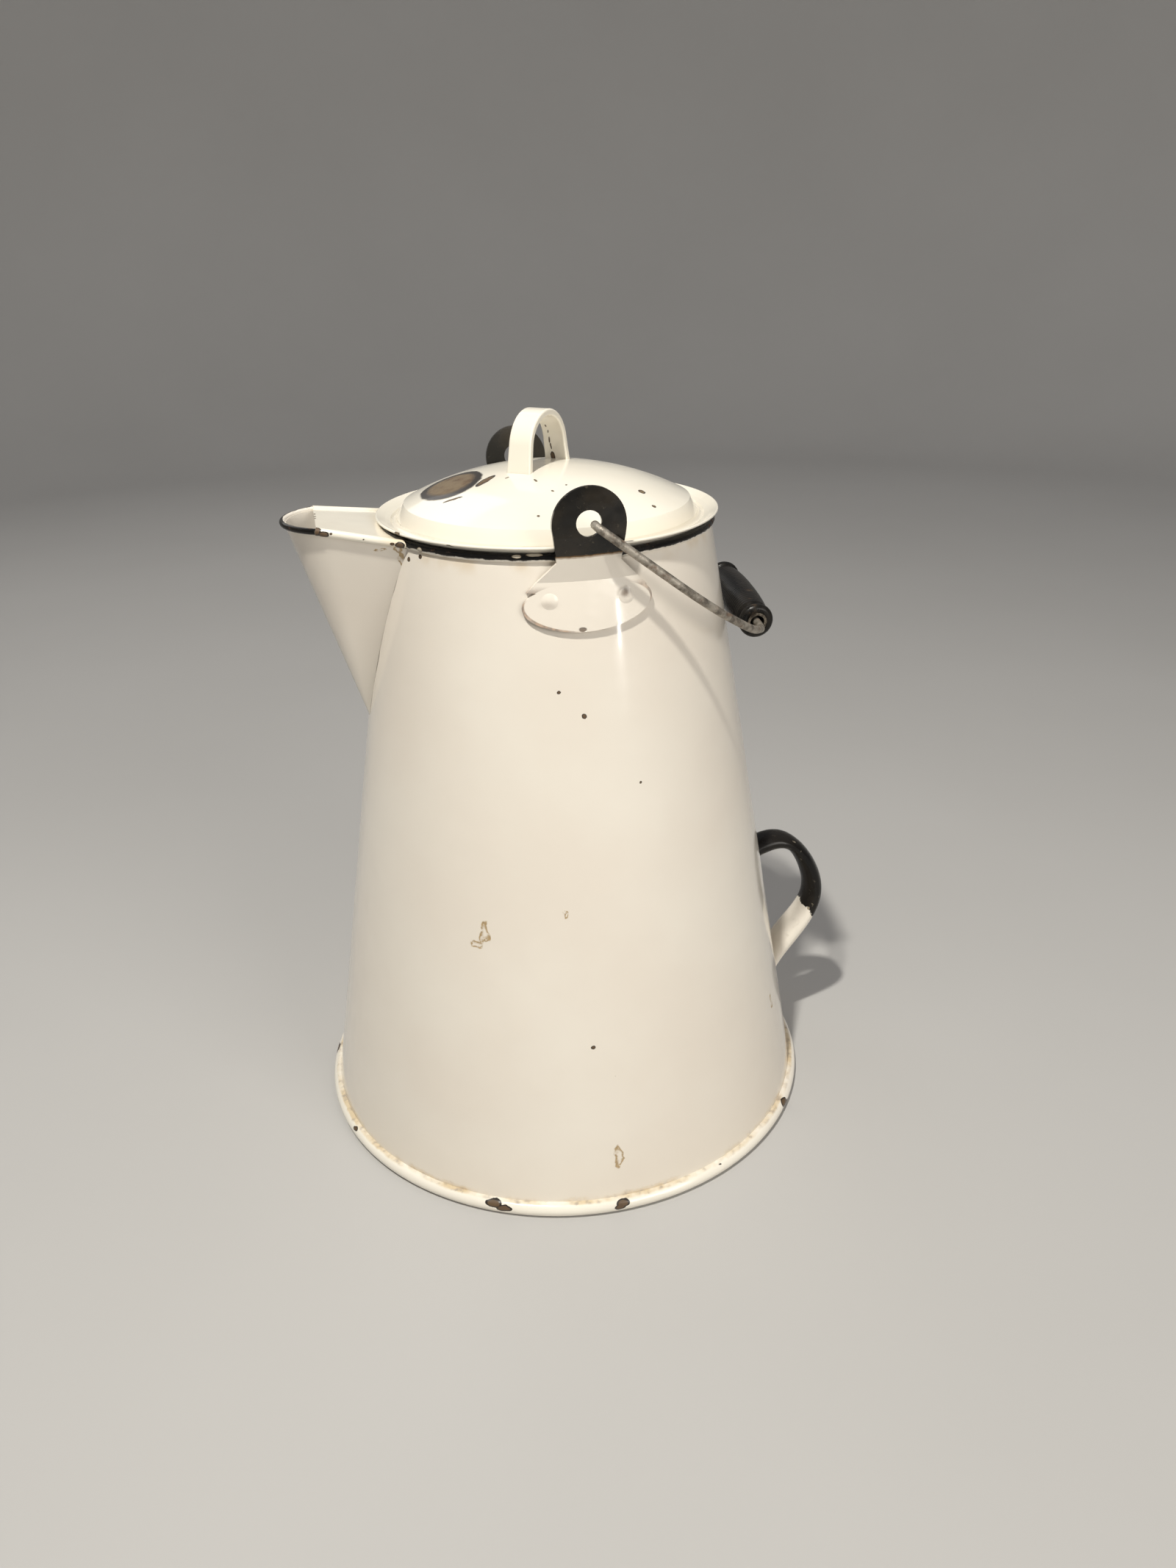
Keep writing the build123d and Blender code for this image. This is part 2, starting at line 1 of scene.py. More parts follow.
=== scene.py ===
"""Looks of an old enamelled steel coffee boiler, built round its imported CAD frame.

Everything is in metres in the frame of the part: +Z up, the spout towards -X, the rear handle
towards +X, the bail's ears at -Y and +Y. Places on the surfaces are given in millimetres.
"""

import math

import bmesh
import bpy
from mathutils import Matrix, Vector


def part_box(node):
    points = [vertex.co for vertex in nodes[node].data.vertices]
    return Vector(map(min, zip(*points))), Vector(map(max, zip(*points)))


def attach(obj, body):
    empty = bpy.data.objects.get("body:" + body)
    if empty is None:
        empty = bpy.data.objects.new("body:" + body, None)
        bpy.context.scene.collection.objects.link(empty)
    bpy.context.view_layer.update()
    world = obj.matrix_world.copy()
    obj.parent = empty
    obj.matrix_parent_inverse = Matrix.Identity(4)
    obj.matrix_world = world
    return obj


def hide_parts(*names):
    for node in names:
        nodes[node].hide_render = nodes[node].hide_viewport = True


MM = 0.001
COAT_ROUGHNESS = 0.05

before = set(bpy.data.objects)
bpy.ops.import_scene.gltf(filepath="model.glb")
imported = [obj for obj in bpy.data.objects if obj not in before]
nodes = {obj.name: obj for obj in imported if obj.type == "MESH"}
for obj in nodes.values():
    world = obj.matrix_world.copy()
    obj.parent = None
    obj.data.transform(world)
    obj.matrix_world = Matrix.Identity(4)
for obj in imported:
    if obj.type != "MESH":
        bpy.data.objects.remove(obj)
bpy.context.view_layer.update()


# ---------------------------------------------------------------- node graph helpers


class Graph:
    """A material's node tree, with short calls for the nodes that these materials use."""

    def __init__(self, name):
        self.material = bpy.data.materials.new(name)
        self.material.use_nodes = True
        self.tree = self.material.node_tree
        self.tree.nodes.clear()
        self.out = self.tree.nodes.new("ShaderNodeOutputMaterial")
        self.shader = self.tree.nodes.new("ShaderNodeBsdfPrincipled")
        self.tree.links.new(self.shader.outputs["BSDF"], self.out.inputs["Surface"])
        self.place = self.tree.nodes.new("ShaderNodeTexCoord").outputs["Object"]
        self.xyz = self.tree.nodes.new("ShaderNodeSeparateXYZ")
        self.tree.links.new(self.place, self.xyz.inputs[0])

    def put(self, value, socket):
        """Links an output socket, or sets a plain value."""
        if isinstance(value, bpy.types.NodeSocket):
            self.tree.links.new(value, socket)
        else:
            socket.default_value = value

    def maths(self, operation, a, b=0.0):
        node = self.tree.nodes.new("ShaderNodeMath")
        node.operation = operation
        self.put(a, node.inputs[0])
        self.put(b, node.inputs[1])
        return node.outputs[0]

    def vector(self, operation, a, b=(0, 0, 0)):
        node = self.tree.nodes.new("ShaderNodeVectorMath")
        node.operation = operation
        self.put(a, node.inputs[0])
        self.put(b, node.inputs[1])
        return node.outputs["Value" if operation in ("LENGTH", "DOT_PRODUCT") else "Vector"]

    def noise(self, scale, detail=3.0, roughness=0.5, stretch=None, colour=False):
        node = self.tree.nodes.new("ShaderNodeTexNoise")
        place = self.vector("MULTIPLY", self.place, stretch) if stretch else self.place
        self.put(place, node.inputs["Vector"])
        node.inputs["Scale"].default_value = scale
        node.inputs["Detail"].default_value = detail
        node.inputs["Roughness"].default_value = roughness
        return node.outputs["Color" if colour else "Fac"]

    def step(self, value, low, high, to_low=0.0, to_high=1.0):
        """Smooth step of a value from low to high."""
        node = self.tree.nodes.new("ShaderNodeMapRange")
        node.interpolation_type = "SMOOTHSTEP"
        self.put(value, node.inputs["Value"])
        node.inputs["From Min"].default_value = low
        node.inputs["From Max"].default_value = high
        node.inputs["To Min"].default_value = to_low
        node.inputs["To Max"].default_value = to_high
        return node.outputs["Result"]

    def blend(self, factor, a, b):
        """Mix of two colours, or of two plain numbers held as greys."""
        node = self.tree.nodes.new("ShaderNodeMix")
        node.data_type = "RGBA"
        a, b = (rgb(v, v, v) if isinstance(v, float) else v for v in (a, b))
        self.put(factor, node.inputs[0])
        self.put(a, node.inputs[6])
        self.put(b, node.inputs[7])
        return node.outputs[2]

    def most(self, masks):
        """Largest of several masks."""
        best = masks[0]
        for mask in masks[1:]:
            best = self.maths("MAXIMUM", best, mask)
        return best

    def warped(self, amount, scale=260.0):
        """The surface place, pushed about by noise, in metres."""
        push = self.vector("SUBTRACT", self.noise(scale, 3, colour=True), (0.5, 0.5, 0.5))
        return self.vector("ADD", self.place, self.vector("MULTIPLY", push, (amount,) * 3))

    def specks(self, scale, share, radius):
        """Sparse round specks: the share of the cells that hold one, and its radius in cells."""
        node = self.tree.nodes.new("ShaderNodeTexVoronoi")
        node.feature = "F1"
        node.inputs["Scale"].default_value = scale
        self.put(self.place, node.inputs["Vector"])
        split = self.tree.nodes.new("ShaderNodeSeparateColor")
        self.put(node.outputs["Color"], split.inputs[0])
        chosen = self.step(split.outputs[0], 1 - share, 1 - share + 0.001)
        size = self.maths("MULTIPLY", split.outputs[1], radius)
        near = self.maths("SUBTRACT", size, node.outputs["Distance"])
        return self.maths("MULTIPLY", self.step(near, 0, radius * 0.25), chosen)

    def ragged(self, scale, detail, roughness, amount):
        """Noise about nought, up to half the amount either way."""
        noise = self.noise(scale, detail, roughness)
        return self.maths("MULTIPLY", self.maths("SUBTRACT", noise, 0.5), amount)

    def covered(self, share, mask, colour, over):
        """The colour with another one over it, as opaque as that share of the mask."""
        return self.blend(self.maths("MULTIPLY", mask, share), colour, over)

    def bump(self, height, distance, strength=1.0, normal=None):
        node = self.tree.nodes.new("ShaderNodeBump")
        node.inputs["Distance"].default_value = distance
        node.inputs["Strength"].default_value = strength
        self.put(height, node.inputs["Height"])
        if normal is not None:
            self.put(normal, node.inputs["Normal"])
        return node.outputs["Normal"]

    def finish(self, colour, roughness, normal=None, metallic=0.0, coat=0.0, specular=0.5):
        sockets = self.shader.inputs
        self.put(colour, sockets["Base Color"])
        self.put(roughness, sockets["Roughness"])
        self.put(metallic, sockets["Metallic"])
        sockets["Coat Weight"].default_value = coat
        sockets["Specular IOR Level"].default_value = specular
        sockets["Coat Roughness"].default_value = COAT_ROUGHNESS
        if normal is not None:
            self.put(normal, sockets["Normal"])
        return self.material


def rgb(r, g, b):
    return (r, g, b, 1.0)


# ---------------------------------------------------------------- places on the kettle

# The wall's radius at the table and how much it loses per unit of height, the foot bead's radius
# where its marks sit, and the lid's dome, all in mm.
WALL_FOOT_R, WALL_TAPER = 141.8, 0.1686
FOOT_MARK_R = 144.5
DOME_R, DOME_TOP_Z = 163.0, 368.3


def turned(r, turn, z):
    """Place at that radius, turn from +X, in degrees, and height."""
    a = math.radians(turn)
    return (r * math.cos(a), r * math.sin(a), z)


def on_wall(turn, z):
    """Place on the wall, in mm."""
    return turned(WALL_FOOT_R - WALL_TAPER * z, turn, z)


def on_foot(turn, z):
    """Place on the foot bead, in mm."""
    return turned(FOOT_MARK_R, turn, z)


def on_dome(x, y):
    """Place on the lid's dome, in mm."""
    return (x, y, DOME_TOP_Z - DOME_R + math.sqrt(DOME_R**2 - x * x - y * y))


# ---------------------------------------------------------------- enamel

GROUND_COAT = rgb(0.018, 0.013, 0.010)
CHIP_BROWN = rgb(0.085, 0.045, 0.018)
RUST_DARK = rgb(0.055, 0.026, 0.012)
RUST_BROWN = rgb(0.19, 0.105, 0.035)
RUST_PALE = rgb(0.52, 0.36, 0.14)
BARE_STEEL = rgb(0.185, 0.135, 0.078)


def chip_reach(g, chip, place):
    """Distance from a chip's middle as a share of its half size: under 1 inside it. A chip is
    (x, y, z, half sizes along its own x, y and z, all in mm, and its turn about Z in degrees)."""
    node = g.tree.nodes.new("ShaderNodeMapping")
    node.vector_type = "TEXTURE"
    g.put(place, node.inputs["Vector"])
    node.inputs["Location"].default_value = [v * MM for v in chip[:3]]
    node.inputs["Scale"].default_value = [v * MM for v in chip[3:6]]
    node.inputs["Rotation"].default_value[2] = math.radians(sum(chip[6:]))
    return g.vector("LENGTH", node.outputs[0])


def chips_masks(g, chips, warp=0.0016):
    """Masks of all the chips: the broken enamel's rim, and the metal laid bare inside it."""
    place = g.warped(warp)
    rims, hearts = [], []
    for chip in chips:
        reach = chip_reach(g, chip, place)
        rims.append(g.step(reach, 1.04, 0.96))
        hearts.append(g.step(reach, 0.86, 0.62))
    return g.most(rims), g.most(hearts)


def rust_tint(g, scale):
    """Yellow rust with browner patches."""
    return g.blend(g.step(g.noise(scale, 3), 0.5, 0.70), RUST_PALE, RUST_BROWN)


def metal_under(g, dark):
    """Colour of the steel and rust that show through a chip. dark is how far it has browned."""
    grain = g.noise(420, 5, 0.65)
    blotch = g.noise(95, 4, 0.6)
    brown = g.blend(g.step(grain, 0.35, 0.75), RUST_DARK, rgb(0.16, 0.09, 0.04))
    bare = tuple(a + (b - a) * dark for a, b in zip(BARE_STEEL, CHIP_BROWN))
    return g.blend(g.step(blotch, 0.42, 0.75), bare, brown)


SPECK_SHARE = 0.012
WAVES = 0.16


def enamel(name, base, shade, chips, stains=(), extra=None, dark=0.8):
    """Glossy enamel on steel. The chips go through it, stains are rust-coloured marks on it, and
    extra(g, colour, rough) may paint more before the chips are cut."""
    g = Graph(name)
    cloud = g.noise(11, 3, 0.5)
    fine = g.noise(60, 4, 0.55)
    colour = g.blend(g.step(cloud, 0.32, 0.7), base, shade)
    colour = g.blend(g.maths("MULTIPLY", g.step(fine, 0.55, 0.8), 0.08), colour, rgb(0.80, 0.70, 0.58))
    pits = g.specks(70, SPECK_SHARE, 0.05)
    dents = g.specks(34, 0.10, 0.055)
    colour = g.covered(0.75, pits, colour, rgb(0.16, 0.11, 0.07))
    colour = g.covered(0.10, dents, colour, rgb(0.45, 0.38, 0.30))
    rough = g.step(g.noise(35, 4, 0.6), 0.3, 0.75, 0.10, 0.20)
    if stains:
        place = g.warped(0.0075, 170)
        reaches = [chip_reach(g, stain, place) for stain in stains]
        marks = g.most([g.maths("MULTIPLY", g.step(r, 1.1, 0.9), g.step(r, 0.3, 0.75)) for r in reaches])
        marks = g.maths("MULTIPLY", marks, g.step(g.noise(420, 4, 0.7), 0.38, 0.50))
        stain_colour = g.blend(g.noise(700, 2), RUST_BROWN, RUST_PALE)
        colour = g.covered(0.9, marks, colour, stain_colour)
        rough = g.maths("ADD", rough, g.maths("MULTIPLY", marks, 0.4))
    if extra is not None:
        colour, rough = extra(g, colour, rough)
    height = g.maths("MULTIPLY", g.noise(26, 2, 0.45), WAVES * 2)
    height = g.maths("ADD", height, g.maths("MULTIPLY", g.noise(150, 2, 0.5), WAVES * 0.10))
    normal = g.bump(height, 0.0012)
    surface_height = g.maths("MULTIPLY", pits, -0.5)
    rims, hearts = chips_masks(g, chips)
    colour = g.blend(rims, colour, GROUND_COAT)
    colour = g.blend(hearts, colour, metal_under(g, dark))
    rough = g.blend(rims, rough, g.step(hearts, 0, 1, 0.3, 0.62))
    surface_height = g.maths("SUBTRACT", surface_height, rims)
    grit = g.maths("MULTIPLY", g.noise(900, 3), g.maths("MULTIPLY", hearts, 0.4))
    surface_height = g.maths("ADD", surface_height, grit)
    normal = g.bump(surface_height, 0.00035, 0.8, normal)
    return g.finish(colour, rough, normal, coat=0.25)


BODY_WHITE, BODY_SHADE = rgb(0.80, 0.745, 0.655), rgb(0.765, 0.70, 0.61)
LID_WHITE, LID_SHADE = rgb(0.86, 0.815, 0.71), rgb(0.83, 0.775, 0.66)

WALL_STAINS = [
    (*on_wall(-90.3, 31), 2.6, 4, 7.5),
    (*on_wall(-121.2, 156), 2.6, 2.6, 7.5),
    (*on_wall(-122.8, 150), 3.6, 3.6, 2.6),
    (*on_wall(-100.2, 169), 1.6, 3, 2.6),
    (*on_wall(-34, 66), 2, 2, 5),
    (*on_wall(48, 120), 3, 3, 8),
    (*on_wall(131, 61), 4, 4, 6),
    (*on_wall(95, 210), 2, 2, 3),
    (132.0, -8.0, 62.0, 2.0, 3.0, 12.0),
    (132.0, 8.0, 62.0, 2.0, 3.0, 12.0),
]
WALL_CHIPS = [
    (-76.2, -38.4, 333.6, 1.0, 1.6, 1.3),
    (-72.5, -46.5, 336.6, 1.6, 1.4, 1.4),
    (*on_wall(-93.1, 267), 1.2, 1.2, 1.2),
    (*on_wall(-100, 279), 0.9, 0.9, 0.9),
    (*on_wall(-78, 231), 0.7, 0.7, 0.7),
    (*on_wall(-95, 96), 1.2, 1.2, 1.0),
    (*on_wall(72, 148), 1.4, 1.4, 1.8),
    (*on_wall(150, 92), 1.1, 1.1, 1.3),
    (*on_wall(118, 302), 1.3, 1.3, 1.1),
    (*on_wall(15, 212), 1.2, 1.2, 1.6),
]


def wall_extra(g, colour, rough):
    """Rust and grime along the seam with the foot, a warmer, darker tint towards the bottom, and a
    painted shadow under the rim.
    """
    z = g.xyz.outputs["Z"]
    ragged = g.maths("ADD", z, g.maths("MULTIPLY", g.noise(120, 4, 0.7), -0.006))
    seam = g.maths("MULTIPLY", g.step(ragged, 0.0080, 0.0045), g.step(g.noise(28, 4, 0.7), 0.42, 0.62))
    colour = g.covered(0.6, seam, colour, rust_tint(g, 200))
    low = g.maths("MULTIPLY", g.step(z, 0.05, 0.005), 0.10)
    colour = g.blend(low, colour, rgb(0.66, 0.52, 0.36))
    # Painted shadow: a brown band on the top of the wall, just under the rim bead, where the lid and bead
    # shade it.
    rim = g.maths("MULTIPLY", g.step(z, 0.330, 0.338), g.step(g.noise(45, 3), 0.4, 0.65))
    colour = g.covered(0.5, rim, colour, rgb(0.60, 0.45, 0.26))
    return colour, g.maths("ADD", rough, g.maths("MULTIPLY", seam, 0.35))


FOOT_CHIPS = [
    (*on_foot(-118.0, 6.6), 5.0, 4.0, 1.9),
    (*on_foot(-115.6, 5.0), 4.6, 4.0, 1.8),
    (*on_foot(-90.3, 6.2), 3.6, 4.0, 2.0),
    (*on_foot(-91.0, 4.4), 3.0, 3.0, 1.6),
    (*on_foot(-38.9, 5.8), 3.6, 3.6, 2.2),
    (*on_foot(-37.5, 3.2), 2.4, 2.4, 1.8),
    (*on_foot(-160, 6.5), 2.4, 2.4, 1.2),
    (*on_foot(-66, 7.4), 1.6, 1.6, 0.7),
    (*on_foot(22, 5.0), 4.0, 6.0, 2.6),
    (*on_foot(74, 5.4), 8.0, 3.5, 2.6),
    (*on_foot(121, 4.6), 5.0, 4.0, 2.4),
    (*on_foot(168, 5.2), 3.5, 6.0, 2.4),
]


SEAM_R = 0.1432


def foot_extra(g, colour, rough):
    """Rust that creeps out of the seam between the foot bead and the wall."""
    z = g.xyz.outputs["Z"]
    flat = g.vector("MULTIPLY", g.place, (1, 1, 0))
    inward = g.maths("SUBTRACT", SEAM_R, g.vector("LENGTH", flat))
    ragged = g.maths("ADD", inward, g.maths("MULTIPLY", g.noise(150, 4, 0.7), 0.0022))
    seam = g.maths("MULTIPLY", g.step(ragged, 0.0008, 0.0020), g.step(z, 0.004, 0.006))
    seam = g.maths("MULTIPLY", seam, g.step(g.noise(30, 4, 0.7), 0.38, 0.60))
    colour = g.covered(0.65, seam, colour, rust_tint(g, 240))
    return colour, g.maths("ADD", rough, g.maths("MULTIPLY", seam, 0.4))


LID_CHIPS = [
    (*on_dome(-49.0, 0.0), 15.8, 21.5, 60.0),
    (*on_dome(-33.8, -15.6), 7.4, 2.3, 40.0, 41),
    (*on_dome(-51.8, -25.0), 5.0, 1.0, 40.0, -14),
    (*on_dome(39.3, -39.7), 1.9, 1.9, 1.9),
    (*on_dome(41.6, -52.9), 1.2, 1.2, 1.2),
    (*on_dome(-6.0, -43.0), 0.7, 0.7, 0.7),
    (*on_dome(-17.0, -62.0), 0.8, 0.8, 0.8),
    (*on_dome(2.0, -38.0), 0.6, 0.6, 0.6),
    (*on_dome(30.0, 44.0), 1.2, 1.2, 1.2),
    (-11.4, -29.6, 365.0, 0.6, 1.9, 9.0, 12),
    (-23.6, -19.2, 365.2, 0.6, 1.4, 9.0, -60),
    (-80.5, -35.0, 345.0, 2.2, 2.6, 1.8),
    (-60.0, -64.4, 344.5, 2.4, 1.6, 1.0),
    (62.0, 62.4, 345.0, 2.6, 2.6, 1.5),
]


def lid_extra(g, colour, rough):
    """Painted shade in the valley round the dome."""
    radius = g.vector("LENGTH", g.vector("MULTIPLY", g.place, (1, 1, 0)))
    valley = g.maths("MULTIPLY", g.step(radius, 0.0725, 0.0765), g.step(radius, 0.0812, 0.0775))
    # Painted shade: the valley between the dome and the brim is darkened towards a brown grey.
    colour = g.covered(0.22, valley, colour, rgb(0.62, 0.52, 0.38))
    return colour, rough


def strap_extra(g, colour, rough):
    """Brown where the strap meets the lid; the rusty line down the far leg's seam is cut by the strap's
    chips.
    """
    z = g.xyz.outputs["Z"]
    foot = g.maths("MULTIPLY", g.step(z, 0.3675, 0.3640), g.step(g.noise(140, 3), 0.42, 0.62))
    colour = g.covered(0.75, foot, colour, rgb(0.40, 0.27, 0.14))
    return colour, rough


STRAP_CHIPS = [
    (6.6, 13.2, 369.0, 1.5, 1.3, 2.4),
    (5.7, 12.9, 373.6, 0.45, 0.5, 2.6),
    (5.0, 12.6, 377.0, 0.5, 0.5, 2.2),
    (3.9, 12.0, 380.6, 0.4, 0.5, 2.6),
    (2.7, 11.3, 384.2, 0.45, 0.5, 1.8),
    (-9.0, -19.5, 365.6, 1.2, 1.2, 0.8),
]

SPOUT_CHIPS = [
    (-118.0, -27.4, 347.8, 2.2, 2.0, 2.6),
    (-114.8, -28.6, 346.0, 2.6, 2.0, 1.7),
    (-111.4, -29.2, 346.6, 0.7, 0.8, 0.6),
    (-79.8, -37.6, 340.4, 2.4, 2.6, 1.7),
    (-83.4, -37.2, 341.2, 1.2, 1.2, 0.9),
    (-96.5, -34.0, 343.4, 0.8, 0.8, 0.5),
    (-117.6, 5.0, 348.0, 0.9, 1.1, 0.8),
    (-117.6, 0.4, 348.0, 0.7, 0.8, 0.7),
    (-117.6, 10.5, 348.2, 0.7, 1.4, 0.7),
    (-92.0, 36.4, 344.0, 1.2, 1.0, 1.0),
]
SPOUT_STAINS = [
    (-79.2, -35.0, 331.5, 2.2, 2.2, 6.0),
    (-89.8, -32.6, 338.0, 3.2, 2.0, 0.9),
    (-80.6, -35.0, 338.0, 3.0, 3.0, 1.8),
    (-79.0, 35.5, 333.0, 2.5, 2.5, 6.0),
]


def cover_extra(g, colour, rough):
    """Painted shade on the cover where it runs in under the lid's edge."""
    x = g.xyz.outputs["X"]
    near = g.maths("MULTIPLY", g.step(x, -0.094, -0.079), g.step(g.noise(60, 3), 0.25, 0.7))
    # Painted shade: the cover turns yellow-brown towards the body, under the lid's edge.
    colour = g.covered(0.55, near, colour, rgb(0.70, 0.55, 0.33))
    return colour, rough


# ---------------------------------------------------------------- black enamel


BLACK, BLACK_CLOUD = rgb(0.0050, 0.0048, 0.0045), rgb(0.013, 0.011, 0.009)


def black_enamel(name, white_where, worn, chips=(), under=RUST_DARK):
    """Black brushed edge enamel over the white. white_where(g) is a mask of where it stops, and
    the lower worn is, the more of it has rubbed through to the colour under it."""
    g = Graph(name)
    colour = g.blend(g.step(g.noise(40, 4), 0.35, 0.7), BLACK, BLACK_CLOUD)
    rough = g.step(g.noise(90, 4, 0.6), 0.3, 0.75, 0.12, 0.30)
    wear = g.step(g.noise(210, 5, 0.7), worn, worn + 0.05)
    colour = g.covered(0.9, wear, colour, under)
    rough = g.maths("ADD", rough, g.maths("MULTIPLY", wear, 0.4))
    white = white_where(g)
    colour = g.blend(white, colour, BODY_WHITE)
    rough = g.blend(white, rough, 0.14)
    if chips:
        rims, hearts = chips_masks(g, chips, 0.0010)
        colour = g.blend(rims, colour, rgb(0.30, 0.25, 0.18))
        colour = g.blend(hearts, colour, rgb(0.42, 0.38, 0.31))
        rough = g.blend(rims, rough, 0.45)
    height = g.maths("MULTIPLY", g.noise(60, 2), 0.4)
    height = g.maths("SUBTRACT", height, g.maths("MULTIPLY", wear, 0.25))
    return g.finish(colour, rough, g.bump(height, 0.0005), specular=0.25)


RIM_CHIPS = [
    (-23.4, -82.0, 342.2, 3.8, 2.2, 0.6, -16),
    (-31.2, -79.7, 341.6, 2.2, 2.0, 0.8, -21),
    (-71.7, -47.9, 339.9, 1.8, 1.8, 1.2),
    (40.0, 74.5, 341.0, 4.0, 2.5, 1.4),
    (79.0, -30.0, 340.5, 2.2, 3.0, 1.0),
]

HANDLE_CHIPS = [
    (118.0, -8.5, 120.0, 3.0, 3.0, 2.0),
    (146.0, -9.5, 122.0, 1.6, 2.0, 2.2),
    (157.5, -10.0, 84.0, 1.4, 2.0, 1.6),
    (154.0, -10.0, 82.5, 1.0, 2.0, 1.2),
    (163.5, -4.0, 92.0, 1.2, 2.0, 2.2),
    (150.0, 9.5, 121.0, 2.0, 2.0, 2.6),
    (165.0, 3.0, 104.0, 2.0, 3.0, 3.0),
]


SPOUT_MIDDLE = (-0.100, 0.0, 0.3470)


def inside_lip(g):
    """Mask of the side of the pouring lip that faces into the spout."""
    outward = g.vector("NORMALIZE", g.vector("SUBTRACT", g.place, SPOUT_MIDDLE))
    normal = g.tree.nodes.new("ShaderNodeTexCoord").outputs["Normal"]
    facing = g.vector("DOT_PRODUCT", outward, normal)
    return g.step(g.maths("ADD", facing, g.ragged(220, 4, 0.7, 0.9)), -0.05, -0.25)


def below_brush_line(height, slope, wobble, top=1.0):
    """Mask of what lies below a hand-brushed line (its height at x = 0, and its rise along +X),
    and below the height top."""

    def mask(g):
        line = g.maths("MULTIPLY", g.xyz.outputs["X"], slope)
        above = g.maths("SUBTRACT", g.xyz.outputs["Z"], line)
        above = g.maths("ADD", above, g.ragged(170, 4, 0.65, wobble))
        below = g.step(above, height + 0.0003, height - 0.0003)
        return g.maths("MULTIPLY", below, g.step(g.xyz.outputs["Z"], top + 0.0005, top))

    return mask


# The ear's brush line: its height at x = 0 and its rise along +X. Then the oval of its foot:
# middle (x, z) and half sizes.
BRUSH_Z, BRUSH_RISE = 0.34205, 0.023
EAR_FOOT_AT, EAR_FOOT_HALF = (0.0005, 0.3188), (0.031, 0.0118)


def on_both_ears(g, mark, warp, outer, inner, scale=260.0):
    """Mask of a mark given for the far ear, and of its mirror image on the near one."""
    x, y, z, *half = mark
    both = [(x, side * y, z, *half) for side in (-1, 1)]
    return g.most([g.step(chip_reach(g, m, g.warped(warp, scale)), outer, inner) for m in both])


def ear_white(g):
    """White foot of an ear, with a rusty edge, two marks and a painted soft shadow at its rivet towards
    -X. Returns also where it is rough.
    """
    x, z = g.xyz.outputs["X"], g.xyz.outputs["Z"]
    white = g.blend(g.noise(14), BODY_WHITE, BODY_SHADE)
    across = g.maths("DIVIDE", g.maths("SUBTRACT", x, EAR_FOOT_AT[0]), EAR_FOOT_HALF[0])
    down = g.maths("DIVIDE", g.maths("SUBTRACT", z, EAR_FOOT_AT[1]), EAR_FOOT_HALF[1])
    reach = g.maths("ADD", g.maths("POWER", across, 2.0), g.maths("POWER", down, 2.0))
    edge = g.step(g.maths("SQRT", reach), 0.965, 0.985)
    edge = g.maths("MULTIPLY", edge, g.step(z, 0.3290, 0.3240))
    edge = g.maths("MULTIPLY", edge, g.step(g.noise(70, 4), 0.30, 0.55))
    tint = g.blend(g.step(g.noise(300, 3), 0.4, 0.6), rgb(0.36, 0.22, 0.13), rgb(0.12, 0.065, 0.04))
    white = g.covered(0.75, edge, white, tint)
    rivet = on_both_ears(g, (17.4, 88.5, 322.8, 3.6, 4.0, 3.6), 0.0026, 1.15, 0.1)
    dot = on_both_ears(g, (-3.8, 91.8, 308.0, 1.9, 2.0, 1.2), 0.001, 1.1, 0.7)
    marks = g.most([rivet, dot])
    white = g.covered(0.85, marks, white, rgb(0.10, 0.062, 0.035))
    # Painted shadow: a soft grey-brown shade round the rivet towards -X.
    rivet_shadow = on_both_ears(g, (-19.0, 88.6, 320.0, 5.5, 4.0, 2.2), 0.004, 1.2, 0.1, 120)
    return g.covered(0.35, rivet_shadow, white, rgb(0.36, 0.29, 0.23)), edge, marks


def ear_material(name):
    """Ear plate: black above the brush line, white below it, and a rusty line between the two."""
    g = Graph(name)
    cloud = g.step(g.noise(55, 4), 0.35, 0.7)
    black = g.blend(cloud, rgb(0.0075, 0.0070, 0.0060), rgb(0.026, 0.020, 0.013))
    wear = g.step(g.noise(330, 5, 0.72), 0.62, 0.67)
    black = g.covered(0.5, wear, black, rgb(0.10, 0.085, 0.06))
    white, edge, marks = ear_white(g)
    tilted = g.maths("SUBTRACT", g.xyz.outputs["Z"], g.maths("MULTIPLY", g.xyz.outputs["X"], BRUSH_RISE))
    line = g.maths("SUBTRACT", g.maths("ADD", tilted, g.ragged(160, 3, 0.6, 0.0016)), BRUSH_Z)
    colour = g.blend(g.step(line, 0.0002, -0.0002), black, white)
    stripe = g.maths("MULTIPLY", g.step(line, 0.0008, 0.0003), g.step(line, -0.0009, -0.0004))
    colour = g.covered(0.6, stripe, colour, rgb(0.22, 0.12, 0.04))
    rough = g.step(g.noise(80, 4, 0.6), 0.3, 0.75, 0.08, 0.18)
    rough = g.maths("ADD", rough, g.maths("MULTIPLY", g.maths("MAXIMUM", marks, edge), 0.35))
    height = g.maths("MULTIPLY", g.noise(60, 2), 0.45)
    height = g.maths("SUBTRACT", height, g.maths("MULTIPLY", marks, 0.6))
    return g.finish(colour, rough, g.bump(height, 0.0006), specular=0.4)


# ---------------------------------------------------------------- steel, wood


